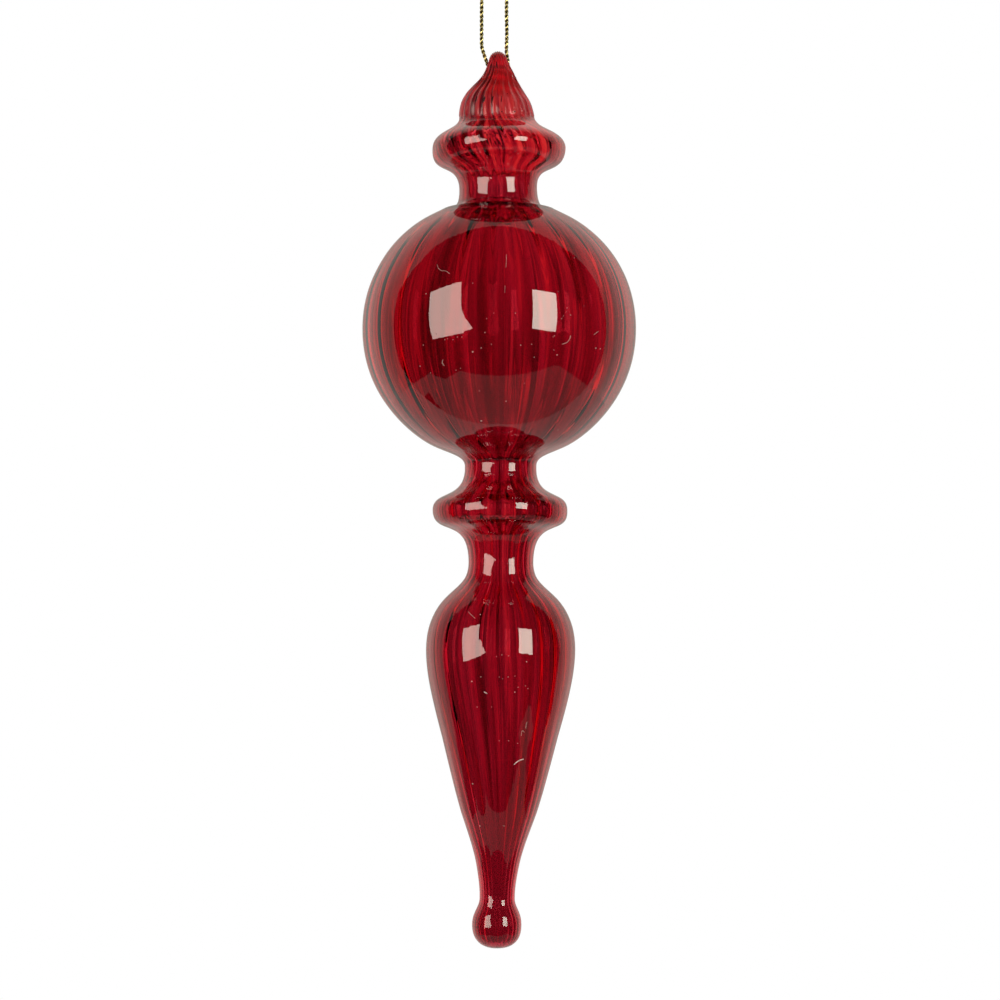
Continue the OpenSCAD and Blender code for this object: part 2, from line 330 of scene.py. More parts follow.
def hood_rows():
    """From the bell's foot up over the eye to the end of its rod: y, depth, y, depth, half width"""
    curl = []
    for a in np.arange(180, -76, -15.0):
        c, s = math.cos(math.radians(a)), math.sin(math.radians(a))
        half = np.interp(a, EYE_HALF[::-1, 0], EYE_HALF[::-1, 1])
        # The rod's end is pressed a little flat where it was fused to the roof, and its front
        # slopes back.
        flat = np.clip((-a - 20) / 55, 0, 1) * 0.35
        back = np.interp(a, (105, 120, 135, 150, 165, 180), (0, 0.12, 0.4, 0.6, 0.5, 0.06))
        outer, inner = EYE_OUTER - flat, EYE_INNER + flat
        curl.append((EYE_Y + outer * c + back, EYE_DEPTH - outer * s,
                     EYE_Y + inner * c, EYE_DEPTH - inner * s, half))
    # A row below the foot only steers the curve.
    below, per = (-8.4, 15.6, 8.4, 15.6, 8.40), 3
    return curve_through([below] + HOOD + curl, per)[per:]


# Points round the outside and round the hollow
OUT_AROUND, IN_AROUND = 144, 240
# Shallow waves of the outside: how many go round, and how fast each one turns down the glass
OUTER_WAVES = ((2, 0.03), (3, 0.06), (5, 0.02), (24, 0.0), (7, 0.11))


def groove(depth, size, angle):
    """Depth of the grooves pinched into the drawn eye and bell, which fade out on the ring below"""
    deep = 0.36 * np.clip((BELL_FOOT + 1.4 - depth) / 2, 0, 1) * np.clip(size / 3.4, 0.22, 1)
    return deep * (0.5 - 0.5 * np.cos(RIBS * angle + 1.1 * np.sin(3 * angle))) ** 0.8


def outer_rings():
    """Rings of the outside: those of the drawn eye and bell, and those from there to the tip"""
    angle = np.linspace(0, 2 * math.pi, OUT_AROUND, endpoint=False)
    drawn = []
    for front_y, front_d, back_y, back_d, half in hood_rows()[::-1]:
        middle_y, middle_d = (front_y + back_y) / 2, (front_d + back_d) / 2
        reach = np.array([(back_y - front_y) / 2, (back_d - front_d) / 2])
        size = np.linalg.norm(reach)
        depth = max(middle_d, 0.0)
        wave = groove(depth, size, angle)
        side = (half - wave) * np.cos(angle)
        thick = (1 - wave / max(size, half)) * np.sin(angle)
        drawn.append(np.stack([
            lean_at(depth) + side, middle_y + reach[0] * thick,
            -(HANG_TO_TOP + middle_d + reach[1] * thick),
        ], axis=1) * MM)
    rings = [drawn[-1]]
    rows = stations(1, len(OUTLINE) - 2, 0.0, 0.985, math.radians(6.8), 0.24, 1.3)
    wobble = chance.uniform(0, 2 * math.pi, (len(OUTER_WAVES), 2))
    fade_at = (UPPER_NECK, UPPER_NECK + 6, LOWER_NECK, SPINDLE)
    for (radius, depth), _ in rows[1:]:
        # The blown outside isn't quite true: long shallow waves, always inwards.
        wave = sum(
            0.5 + 0.5 * np.sin(n * angle + depth * k + begin + math.sin(depth * 0.05 + sway))
            for (n, k), (begin, sway) in zip(OUTER_WAVES, wobble)
        ) / len(OUTER_WAVES)
        fade = np.interp(depth, fade_at, (0.09, 0.05, 0.05, 0.11))
        full = radius + np.interp(depth, *FULLER)
        r = full - wave * fade * min(1, radius / 9) - groove(depth, radius, angle)
        rings.append(as_blown(r, angle, np.full_like(angle, depth)))
    return drawn, rings


def rib_wave(share, sharp=1.2):
    """Height of the ribs round a ring, from 0 in the hollows to 1 on the crests"""
    return (0.5 + 0.5 * np.cos(2 * math.pi * share)) ** sharp


def hollow_skin():
    """The ribbed inside of the glass, from its dome to the drop's point"""
    j = np.arange(IN_AROUND)
    share = j * RIBS / IN_AROUND
    rib = np.round(share).astype(int) % RIBS
    strength = chance.uniform(0.65, 1.25, RIBS)
    phase = chance.uniform(0, 2 * math.pi, (RIBS, 2))
    waves = chance.uniform(0, 2 * math.pi, 4)
    rings = []
    rows = stations(0, len(OUTLINE) - 2, 0.62, 0.75, math.radians(9.5), 0.4, 1.9)
    for (radius, depth), (outward, down) in rows:
        base = np.radians(turn_at(depth)) + 2 * math.pi * j / IN_AROUND
        # No two ribs are quite alike, and each one wanders a little down the glass.
        high = strength[rib] * (1 + 0.25 * np.sin(depth * 0.07 + phase[rib, 0]))
        even, right = (np.interp(depth, WALLS[:, 0], WALLS[:, k]) for k in (1, 2))
        # They are low on thin parts, and at the upper neck.
        high = high * min(1, radius / RIB_FULL_R) ** 2
        high = high * np.interp(depth, (23, 27, 33, 38), (1, 0.5, 0.5, 1))
        wall = even + right * np.cos(base) + RIB_H * high * rib_wave(share)
        wall = wall + 0.05 * np.sin(3 * base + depth * 0.05 + waves[0]) * min(1, radius / 12)
        wall = wall + 0.03 * np.sin(7 * base - depth * 0.04 + waves[1]) * min(1, radius / 12)
        drift = 0.9 * np.sin(depth * 0.045 + waves[2])
        drift = drift + 0.5 * np.sin(2 * base + depth * 0.03 + waves[3])
        r = radius + np.interp(depth, *FULLER) - wall * down
        rings.append(as_blown(r, base + np.radians(drift), depth + wall * outward))
    crown = -(HANG_TO_TOP + HOLLOW_TOP) * MM
    first = rings[0]
    axis = first.mean(axis=0)
    dome, steps = [], 9
    for k in range(1, steps):
        c = math.cos(k / steps * math.pi / 2)
        rise = math.sin(k / steps * math.pi / 2)
        ring = first.copy()
        ring[:, :2] = axis[:2] + (first[:, :2] - axis[:2]) * c
        ring[:, 2] = first[:, 2] + (crown - first[:, 2]) * rise
        dome.append(ring)
    rings = dome[::-1] + rings
    count = len(rings)
    top = np.array([axis[0], axis[1], crown])
    foot = to_frame(lean_at(GLASS_H), 0.0, GLASS_H - TIP_WALL)
    points = np.vstack(rings + [top, foot])
    faces = grid_faces(0, count, IN_AROUND, flip=True)
    faces += fan_faces(len(points) - 2, 0, IN_AROUND, flip=True)
    faces += fan_faces(len(points) - 1, (count - 1) * IN_AROUND, IN_AROUND)
    return points, faces


# Cord: two plies of metallic yarn laid round each other
def frames_along(line):
    """Directions across a line that turn as little as they can"""
    way = unit(np.gradient(line, axis=0))
    side = np.zeros_like(line)
    first = np.array([0.0, 1.0, 0.0])
    side[0] = unit(first - way[0] * first.dot(way[0]))
    for i in range(1, len(line)):
        s = side[i - 1] - way[i] * side[i - 1].dot(way[i])
        side[i] = s / np.linalg.norm(s)
    return way, side, np.cross(way, side)


def plies(line, radius, lay, count=2, sides=10, ply_share=0.54, start=0.0):
    """The plies of one cord along a line, in metres: points, faces, and for each point its way along
    the cord, its angle round the ply, the ply's number and its share of the cord's radius"""
    way, side, front = frames_along(line)
    gaps = np.linalg.norm(np.diff(line, axis=0), axis=1)
    run = np.concatenate([[0], np.cumsum(gaps)])
    r_ply = radius * ply_share
    offset = radius - r_ply
    points, faces, info = [], [], []
    for k in range(count):
        a = start + 2 * math.pi * (run / lay + k / count)
        out = np.cos(a)[:, None] * side + np.sin(a)[:, None] * front
        centre = line + offset * out
        _, s2, f2 = frames_along(centre)
        b = np.linspace(0, 2 * math.pi, sides, endpoint=False)
        base = len(points)
        for i in range(len(line)):
            ring = centre[i] + r_ply * (np.cos(b)[:, None] * s2[i] + np.sin(b)[:, None] * f2[i])
            points.extend(ring)
            depth = np.linalg.norm(ring - line[i], axis=1) / radius
            info.extend([(run[i], v, k, q) for v, q in zip(b, depth)])
        faces += grid_faces(base, len(line), sides, flip=True)
        faces.append(tuple(base + q for q in range(sides))[::-1])
        end = base + (len(line) - 1) * sides
        faces.append(tuple(end + q for q in range(sides)))
    return points, faces, info


# In metres: the cord's thickness and the length of one turn of its plies, and for the knot the
# radius of its strands and the length of their turn
CORD_D, CORD_LAY = 0.0008, 0.00197
KNOT_R, KNOT_LAY = 0.00038, CORD_LAY * 0.8
# From the knot down on the left, through the eye at EYE_POINT, and up on the right
ROUTE = np.array([
    [-0.5, 0, 6], [-0.8, 0, 4.6], [-1.6, 0, 3.1], [-2.4, 0, 1.6], [-2.8, 0, 0], [-2.9, 0, -3],
    [-3.1, 0.2, -8], [-3.4, 0.6, -16], [-3.7, 1, -24], [-3.9, 1.4, -32], [-3.92, 1.7, -38],
    [-3.88, 1.8, -41], [-3.42, 1.9, -42.6], [-2.98, 1.9, -43.9], [-2.5, 1.9, -45.1],
    [-1.5, 1.9, -46], [-0.2, 1.9, -46.25], [1, 1.95, -46.15], [1.7, 2.1, -45.6], [1.95, 2.4, -44.7],
    [1.9, 2.7, -43.7], [1.66, 2.7, -42.5], [1.62, 2.3, -41], [1.71, 1.8, -38], [1.64, 1.4, -32],
    [1.9, 1, -24], [2.3, 0.6, -16], [2.6, 0.2, -8], [2.8, 0, -3], [2.8, 0, 0], [2.4, 0, 1.6],
    [1.6, 0, 3.1], [0.8, 0, 4.6], [0.5, 0, 6],
]) * MM


def gold_cord_material():
    material, s = new_material("gold_cord_twist")
    place = s.attribute("yarn", "Vector")
    x, y, _ = s.parts(place)
    # Fine metallic strips wound round each ply: x runs along it, y round it.
    wound = s.math("ADD", s.math("MULTIPLY", x, 9000.0), s.math("MULTIPLY", y, 3.0))
    strip = s.math("ABSOLUTE", s.math("SINE", wound))
    grain = s.noise(place, 2600.0, 3.0)
    tone = s.noise(place, 700.0, 2.0)
    # Painted shade: the gold darkens down in the groove between the plies; one ply is also duller than
    # the other.
    ply_tone_and_groove_shade = s.attribute("ply_tone_and_groove_shade", "Fac")
    wear_and_groove_shade = s.math("MULTIPLY", s.ramp(tone, 0.38, 0.66, 0.6, 1.05, smooth=True), ply_tone_and_groove_shade)
    colour = s.mix(wear_and_groove_shade, (0.03, 0.022, 0.002, 1), (0.98, 0.85, 0.33, 1))
    gaps = s.ramp(strip, 0.0, 0.28, 0.35, 1.0)
    dark = s.mix(gaps, (0.03, 0.02, 0.004, 1), colour)
    height = s.math("ADD", strip, s.math("MULTIPLY", grain, 0.5))
    bump = s.node("ShaderNodeBump", {"Strength": 0.7, "Distance": 0.00006, "Height": height})
    surface = s.node("ShaderNodeBsdfPrincipled", {
        "Base Color": dark, "Metallic": 0.95, "Roughness": s.ramp(grain, 0.3, 0.7, 0.16, 0.36),
        "Normal": bump.outputs["Normal"]})
    s.node("ShaderNodeOutputMaterial", {"Surface": surface.outputs[0]})
    return material


def yarn_object(name, parts, material):
    points, faces, info = [], [], []
    for p, f, q in parts:
        base = len(points)
        points.extend(p)
        faces += [tuple(base + v for v in face) for face in f]
        info.extend(q)
    obj = new_object(name, points, faces, [material])
    data = obj.data.attributes.new("yarn", "FLOAT_VECTOR", "POINT")
    run = np.array(info)
    # Round the ply as a point on a circle, so that the pattern has no seam
    circle = 0.0003
    flat = np.stack([run[:, 0], circle * np.cos(run[:, 1]), circle * np.sin(run[:, 1])], axis=1)
    data.data.foreach_set("vector", flat.astype(np.float32).ravel())
    # One ply is duller than the other, and both get painted shade down in the groove between them.
    ply_tone_and_groove_shade = np.clip((run[:, 3] - 0.55) / 0.4, 0, 1) * np.where(run[:, 2] > 0, 0.32, 1.0)
    data = obj.data.attributes.new("ply_tone_and_groove_shade", "FLOAT", "POINT")
    data.data.foreach_set("value", ply_tone_and_groove_shade.astype(np.float32))
    return obj


gold = gold_cord_material()
loop = resampled(curve_through(ROUTE, 8), 0.00012)
# The plies bulge a little past a plain tube of the cord's thickness.
cord = yarn_object("gold_hanging_cord", [plies(loop, CORD_D * 0.55, CORD_LAY)], gold)


# Knot: both ends of the cord wound round themselves in an overhand knot, with two short tails
def knot_strand(side):
    z0, turns, steps = 6.0, 1.55, 22
    points = [(0.42 * side, 0, z0 - 0.5), (0.45 * side, 0, z0 + 0.1)]
    begin = math.pi * (0.0 if side > 0 else 1.0)
    for k in range(steps + 1):
        u = k / steps
        a = begin + 2 * math.pi * turns * u
        r = 0.9 + 0.05 * math.sin(3 * a)
        z = z0 + 0.45 + 1.75 * u + 0.12 * math.sin(2 * a)
        points.append((r * math.cos(a), r * math.sin(a), z))
    lean, top = math.radians(18), z0 + 2.7
    points.append((0.5 * side, 0.1, top - 0.15))
    for s in (0.5, 1.4, 2.4, 3.1):
        x, y = side * (0.5 + s * math.sin(lean)), 0.1 * (1 - s / 3.3)
        points.append((x, y, top + s * math.cos(lean)))
    return resampled(curve_through(np.array(points) * MM, 6), 0.00016)


knot = yarn_object("cord_overhand_knot", [
    plies(knot_strand(1), KNOT_R, KNOT_LAY), plies(knot_strand(-1), KNOT_R, KNOT_LAY, start=1.2),
], gold)
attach(cord, "root")
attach(knot, "root")
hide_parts("hanging_cord")
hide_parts("cord_knot")


# Glass: a thin layer of red lies on clear glass, in strands of more and less colour.
def red_glass_material():
    material, s = new_material("red_blown_glass")
    strand = s.attribute("strand", "Vector")
    level, streaks, relief = s.parts(s.attribute("tone", "Vector"))

    def drawn_out(around, along, detail, rough):
        """Noise pulled out along the strands of the glass"""
        scale = (around, around, along)
        place = s.node("ShaderNodeMapping", {"Vector": strand, "Scale": scale}).outputs[0]
        return s.noise(place, 1.0, detail, rough)

    # The strand's z is the depth in centimetres.
    depth = s.parts(strand)["Z"]
    broad = drawn_out(7.0, 0.16, 1.0, 0.45)
    fine = drawn_out(15.0, 0.16, 1.2, 0.45)
    hair = drawn_out(30.0, 0.12, 0.0, 0.5)
    gate = drawn_out(3.6, 0.45, 0.0, 0.5)
    # Less or more of the red layer
    detail = s.ramp(depth, 2.8, 6.0, 0.8, 0.24)
    uneven = s.ramp(broad, 0.3, 0.7, -1.0, 1.0)
    uneven = s.math("MULTIPLY_ADD", s.ramp(fine, 0.3, 0.7, -1.0, 1.0), detail, uneven)
    uneven = s.math("MULTIPLY_ADD", uneven, s.math("MULTIPLY", streaks, 2.0), 1.0)
    share = s.math("MULTIPLY", level, s.math("MAXIMUM", uneven, 0.0))
    # A few strands where it is pulled thin
    thin = s.math("MULTIPLY", s.ramp(hair, 0.56, 0.7, smooth=True), s.ramp(gate, 0.5, 0.64, 0.0, 0.8))
    wide = s.math("MULTIPLY", s.ramp(fine, 0.58, 0.74, smooth=True), s.ramp(gate, 0.54, 0.4, 0.0, 0.6))
    thin = s.math("MULTIPLY", s.math("ADD", thin, wide), s.ramp(depth, 10.0, 14.0, 1.0, 0.3))
    share = s.math("MULTIPLY_ADD", thin, streaks, share, clamp=True)
    # And a few where it piles up
    piled = s.math("MULTIPLY", streaks, s.ramp(depth, 3.0, 6.0, 1.0, 0.3))
    piled = s.math("MULTIPLY", s.ramp(gate, 0.5, 0.4), piled)
    piled = s.math("MULTIPLY", s.ramp(hair, 0.4, 0.3, smooth=True), piled)
    share = s.math("MULTIPLY", share, s.math("SUBTRACT", 1.0, piled))
    ramp = s.node("ShaderNodeValToRGB", {"Fac": share})
    stops = ramp.color_ramp.elements
    stops[0].color = (0.07, 0.004, 0.014, 1)
    stops[1].color = (0.92, 0.42, 0.32, 1)
    for at, tint in ((0.12, (0.35, 0.038, 0.135, 1)), (0.4, (0.69, 0.135, 0.175, 1))):
        stops.new(at).color = tint
    height = s.math("MULTIPLY", s.math("ADD", fine, s.math("MULTIPLY", broad, 0.6)), relief)
    bump = s.node("ShaderNodeBump", {"Strength": 0.55, "Distance": 0.00025, "Height": height})
    smear = s.noise(s.node("ShaderNodeTexCoord").outputs["Object"], 70.0, 4.0, 0.6)
    # The drawn eye and bell have a finely wrinkled, less glossy skin.
    rough = s.math("ADD", s.ramp(smear, 0.52, 0.78, 0.0, 0.045, smooth=True),
                   s.ramp(depth, 1.48, 1.74, 0.33, 0.0, smooth=True))
    surface = s.node("ShaderNodeBsdfPrincipled", {
        "Base Color": ramp.outputs["Color"], "IOR": 1.5, "Transmission Weight": 1.0,
        "Roughness": rough, "Normal": bump.outputs["Normal"]})
    inside = s.node("ShaderNodeVolumeAbsorption", {"Color": (0.988, 0.46, 0.65, 1), "Density": 1000.0})
    s.node("ShaderNodeOutputMaterial", {"Surface": surface.outputs[0], "Volume": inside.outputs[0]})
    return material


def fused(obj, other):
    """Joins a skin to itself and to another where they cross, and gives its points and faces"""
    cut = obj.modifiers.new("fuse", "BOOLEAN")
    cut.operation, cut.solver, cut.use_self, cut.object = "UNION", "EXACT", True, other
    mesh = obj.evaluated_get(bpy.context.evaluated_depsgraph_get()).to_mesh()
    flat = np.empty(len(mesh.vertices) * 3, dtype=np.float32)
    mesh.vertices.foreach_get("co", flat)
    faces = [tuple(p.vertices) for p in mesh.polygons]
    for used in (obj, other):
        bpy.data.objects.remove(used, do_unlink=True)
    return flat.reshape(-1, 3).astype(float), faces


def blob(centre, radii, rings, around):
    """A closed rounded form, as points and faces"""
    points = [(0, 0, 1)]
    for i in range(1, rings):
        e = math.pi * i / rings
        points += [(math.sin(e) * math.cos(a), math.sin(e) * math.sin(a), math.cos(e))
                   for a in np.linspace(0, 2 * math.pi, around, endpoint=False)]
    points.append((0, 0, -1))
    faces = fan_faces(0, 1, around)
    faces += grid_faces(1, rings - 1, around)
    faces += fan_faces(len(points) - 1, 1 + (rings - 2) * around, around, flip=True)
    return np.array(points) * np.asarray(radii) + np.asarray(centre), faces


def outer_skin(glass):
    """The outside of the glass as one closed skin, with the eye's rod fused to the roof"""
    drawn, rings = outer_rings()
    n, rows = OUT_AROUND, len(drawn)
    points = np.vstack(drawn + [drawn[0].mean(axis=0)])
    faces = grid_faces(0, rows, n) + fan_faces(rows * n, 0, n)
    faces.append(tuple(range((rows - 1) * n, rows * n))[::-1])
    top = new_object("drawn_top", points, faces, [glass])
    # The rod's end melted into the roof and left a low rounded foot there.
    middle, radii = (-0.0001, 0.0043, -(HANG_TO_TOP + 6.9) * MM), (0.0026, 0.0017, 0.0009)
    weld = new_object("weld_foot", *blob(middle, radii, 10, 24), [glass])
    points, faces = fused(top, weld)
    # The fused top's open foot takes over the first ring of the rest.
    start = len(points)
    tip = to_frame(lean_at(GLASS_H), 0.0, GLASS_H - 0.004)
    lower = np.vstack(rings[1:] + [tip])
    foot = [int(np.argmin(((points - p) ** 2).sum(axis=1))) for p in rings[0]]
    faces = [f for f in faces if len(f) < n]
    faces += [(foot[j], start + j, start + (j + 1) % n, foot[(j + 1) % n]) for j in range(n)]
    faces += grid_faces(start, len(rings) - 1, n)
    faces += fan_faces(start + len(lower) - 1, start + (len(rings) - 2) * n, n, flip=True)
    return np.vstack([points, lower]), faces


# Small marks that the photo shows on the glass, at (x, depth) as the camera sees them: a round or
# long spot with its two half sizes and its slant in degrees, or a thread along points with its half
# thickness
DUST = [
    (-16.3, 54.3, 0.13, 0.1, 0), (-5.9, 51.9, 0.08, 0.08, 0), (-12.1, 64.5, 0.12, 0.09, 20),
    (-11.5, 64.3, 0.09, 0.07, 0), (-10.3, 64.5, 0.1, 0.08, 0), (-9.3, 63.9, 0.15, 0.08, 15),
    (-8.3, 63.9, 0.09, 0.08, 0), (-5.9, 67.2, 0.19, 0.16, 0), (-4, 66.3, 0.12, 0.1, 0),
    (-1.7, 65.5, 0.09, 0.09, 0), (-2.8, 59.8, 0.1, 0.08, 0), (-3.2, 62.9, 0.13, 0.1, 0),
    (3.6, 58.6, 0.08, 0.1, 0), (4.8, 65.7, 0.08, 0.16, 0), (-4, 82.6, 0.2, 0.18, 0),
    (1.5, 78.2, 0.12, 0.11, 0), (12, 63.9, 0.1, 0.08, 0), (12.3, 63.6, 0.12, 0.07, 30),
    (12.9, 67.9, 0.16, 0.11, 40), (12.2, 66.8, 0.1, 0.07, 0), (21.5, 66.4, 0.19, 0.13, 0),
    (22.5, 66.5, 0.12, 0.1, 0), (15.1, 57.4, 0.08, 0.08, 0), (15.9, 59, 0.13, 0.09, 0),
    (14.3, 59.2, 0.08, 0.07, 0), (13.9, 59.8, 0.1, 0.1, 0), (14.9, 58.3, 0.06, 0.06, 0),
    (7.8, 68.4, 0.13, 0.1, 0), (7.2, 65.5, 0.09, 0.11, 0), (16.8, 46.3, 0.14, 0.08, 30),
    (-16.9, 65.7, 0.1, 0.08, 0), (-17.6, 70.4, 0.12, 0.09, 0), (-15.3, 71.9, 0.1, 0.08, 0),
    (-8.6, 70.9, 0.09, 0.07, 0), (-9.6, 71.3, 0.09, 0.08, 0), (-1.2, 58.6, 0.05, 0.07, 0),
    (13.1, 84.6, 0.09, 0.08, 0), (5.6, 74.2, 0.07, 0.06, 0), (-4.4, 75.9, 0.07, 0.07, 0),
    (-6.1, 140.6, 0.16, 0.13, 0), (-4.1, 139.6, 0.13, 0.12, 0), (2, 139.6, 0.11, 0.1, 0),
    (3.5, 143, 0.14, 0.12, 0), (3.5, 139.4, 0.08, 0.08, 0), (6.1, 136.2, 0.13, 0.11, 0),
    (-0.6, 135.1, 0.1, 0.07, 0), (0.6, 134.7, 0.12, 0.08, 0), (2.1, 134.9, 0.1, 0.06, 0),
    (0, 139.6, 0.09, 0.07, 0), (0.8, 140, 0.08, 0.07, 0), (4.2, 141.9, 0.11, 0.07, 30),
    (5.9, 141.6, 0.12, 0.06, 0), (6.4, 142.2, 0.1, 0.09, 0), (-4.2, 125.7, 0.14, 0.11, 0),
    (-5.9, 163.4, 0.17, 0.16, 0), (-4.3, 172.8, 0.14, 0.12, 0), (0, 153.8, 0.08, 0.07, 0),
    (2.1, 153.8, 0.11, 0.09, 0), (-4.9, 146.3, 0.09, 0.08, 0), (-1.7, 146.3, 0.08, 0.07, 0),
    (4.1, 154.4, 0.09, 0.09, 0), (1.1, 172.8, 0.2, 0.06, -30),
]
DUST_THREADS = [
    (0.045, [(-13.8, 47.8), (-13.5, 48.6), (-12.9, 49.1), (-11.9, 49.2), (-11, 49.8)]),
    (0.035, [(1.6, 45.5), (1.6, 47), (1.5, 48.4)]), (0.03, [(1.3, 52.4), (1.25, 54)]),
    (0.06, [(-12.5, 68.9), (-12.7, 69.7), (-12.2, 70.3)]),
    (0.07, [(14, 65.5), (15.1, 65.1), (15.7, 64.3), (15.9, 63.6)]),
    (0.05, [(21.1, 63.4), (22.1, 62.6)]), (0.05, [(6.2, 149.6), (6, 150.3), (5.9, 151)]),
    (0.05, [(4.9, 152.7), (5.1, 151.6), (5.6, 151.9)]),
    (0.045, [(-6.9, 125.1), (-6.2, 125.8), (-5.3, 126.6)]),
]
# Two white threads in the same form
FIBRES = [(0.09, [(-3.4, 142.9), (-2.7, 143.3)]), (0.11, [(3.3, 159.1), (4.3, 158.3), (5.4, 157.9)])]
# Dark ovals and dots of painted shade on the eye and bell, which stand in for the dark the ribs refract
# there, and three dark specks on the ball, in the same form
SHADE_OVALS_AND_SPECKS = [
    (-5.1, 10.9, 0.22, 0.8, 0), (-3.4, 11, 0.36, 0.82, 0), (-1.5, 10.9, 0.2, 0.85, 0),
    (0.5, 10.9, 0.1, 0.9, 0), (0.6, 13.7, 0.2, 0.14, 30), (3.5, 13.7, 0.22, 0.14, -20),
    (5.7, 13.6, 0.16, 0.12, 0), (1.8, 9.7, 0.12, 0.1, 0), (-0.6, 3.1, 0.14, 0.75, 0),
    (13.1, 53.8, 0.12, 0.14, 0), (18.9, 57, 0.1, 0.12, 0), (-14.0, 63.2, 0.13, 0.12, 0),
]


def marks_on(points, faces):
    """The small marks as closed forms on the outside: points, faces, and the material of each face"""
    skin = BVHTree.FromPolygons([tuple(p) for p in points], faces)
    eye = np.array(scene.camera.location)

    def on_glass(x, depth):
        aim = np.array([x * MM, 0, -(HANG_TO_TOP + depth) * MM]) - eye
        place, normal, _, _ = skin.ray_cast(tuple(eye), tuple(unit(aim)))
        return np.array(place), np.array(normal)

    made, sides, kinds = [], [], []

    def add(p, f, kind):
        base = sum(len(q) for q in made)
        made.append(p)
        sides.extend(tuple(base + v for v in face) for face in f)
        kinds.extend([kind] * len(f))

    spot_half = 0.035
    # Kind 2 holds the dark ovals and dots of painted shade on the eye and bell, and the dark specks on
    # the ball.
    for kind, spots in ((1, DUST), (2, SHADE_OVALS_AND_SPECKS)):
        for x, depth, wide, tall, slant in spots:
            place, normal = on_glass(x, depth)
            across = unit(np.cross(np.array([0, 0, 1.0]), normal))
            up = np.cross(normal, across)
            form, form_faces = blob((0, 0, 0), (1, 1, 1), 5, 12)
            a = math.radians(slant)
            u, v, w = form[:, 0] * wide, form[:, 1] * tall, form[:, 2] * spot_half
            u, v = u * math.cos(a) - v * math.sin(a), u * math.sin(a) + v * math.cos(a)
            p = place + (u[:, None] * across + v[:, None] * up + w[:, None] * normal) * MM
            add(p, form_faces, kind)
    for kind, threads in ((1, DUST_THREADS), (3, FIBRES)):
        for half, stops in threads:
            line = np.array([on_glass(x, d)[0] for x, d in curve_through(np.array(stops), 5)])
            p, f, _ = plies(line, half * MM, 1.0, count=1, sides=6, ply_share=1.0)
            add(np.array(p), f, kind)
    return np.vstack(made), sides, kinds


def mark_material(name, colour, roughness):
    material, s = new_material(name)
    uneven = s.noise(s.node("ShaderNodeTexCoord").outputs["Object"], 6000.0, 2.0)
    darker = tuple(c * 0.7 for c in colour[:3]) + (1,)
    tint = s.mix(s.ramp(uneven, 0.35, 0.65), darker, colour)
    surface = s.node("ShaderNodeBsdfPrincipled", {"Base Color": tint, "Roughness": roughness})
    s.node("ShaderNodeOutputMaterial", {"Surface": surface.outputs[0]})
    return material


# Share of clear glass, strength of the strands and of the relief, by depth: the inside has all three
# in a row, the outside has a table for each. The red layer lies on the inside of the hollow; in the
# drawn top it has been pulled through to the outside.
INSIDE = np.array([
    (0, 0.3, 0.8, 1), (14, 0.3, 0.8, 1), (22, 0.24, 0.8, 1), (27, 0.16, 0.5, 0.6),
    (31, 0.065, 0.12, 0.15), (36, 0.085, 0.4, 0.3), (46, 0.102, 0.75, 0.3), (66, 0.074, 0.75, 0.25),
    (80, 0.055, 0.45, 0.25), (96, 0.095, 0.5, 0.35), (103, 0.13, 0.6, 0.4), (120, 0.083, 0.6, 0.35),
    (150, 0.086, 0.6, 0.4), (185, 0.05, 0.04, 0.6), (200, 0.055, 0, 0.6),
])
OUTSIDE = [
    np.array([(0, 1.1), (9, 1.0), (14, 0.75), (20, 0.5), (200, 0.42)]),
    np.array([(0, 1.1), (14, 1.1), (22, 0.45), (28, 0.03), (34, 0.03), (44, 0.2), (150, 0.17), (185, 0)]),
    np.array([(0, 0.3), (24, 0.25), (44, 0.2), (130, 0.2), (180, 0.1), (200, 0.05)]),
]


def build_glass():
    glass = red_glass_material()
    outer, outer_faces = outer_skin(glass)
    inner, inner_faces = hollow_skin()
    # The points of the outside come first.
    base = len(outer)
    every = np.vstack([outer, inner])
    faces = outer_faces + [tuple(base + v for v in f) for f in inner_faces]
    marks, mark_faces, kinds = marks_on(outer, outer_faces)
    kinds = [0] * len(faces) + kinds
    faces += [tuple(len(every) + v for v in f) for f in mark_faces]
    every = np.vstack([every, marks])
    pale = mark_material("pale_dust", (0.62, 0.5, 0.42, 1), 0.7)
    # Dark marks: painted shade on the eye and bell, and dark specks on the ball.
    dark = mark_material("painted_shade_and_dark_specks", (0.03, 0.004, 0.006, 1), 0.35)
    white = mark_material("white_fibre", (1.0, 0.93, 0.84, 1), 0.6)
    body = new_object("red_glass_bauble", every, faces, [glass, pale, dark, white], face_material=kinds)
    depth = -every[:, 2] / MM - HANG_TO_TOP
    angle = np.arctan2(every[:, 1], every[:, 0] - lean_at(depth) * MM) - np.radians(turn_at(depth))
    strand = np.stack([np.cos(angle), np.sin(angle), depth / 10], axis=1)
    data = body.data.attributes.new("strand", "FLOAT_VECTOR", "POINT")
    data.data.foreach_set("vector", strand.astype(np.float32).ravel())
    tone = np.stack([np.interp(depth, INSIDE[:, 0], INSIDE[:, k]) for k in (1, 2, 3)], axis=1)
    for k, table in enumerate(OUTSIDE):
        tone[:base, k] = np.interp(depth[:base], table[:, 0], table[:, 1])
    data = body.data.attributes.new("tone", "FLOAT_VECTOR", "POINT")
    data.data.foreach_set("vector", tone.astype(np.float32).ravel())
    return body


body = build_glass()
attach(body, "root")
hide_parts("glass_body")


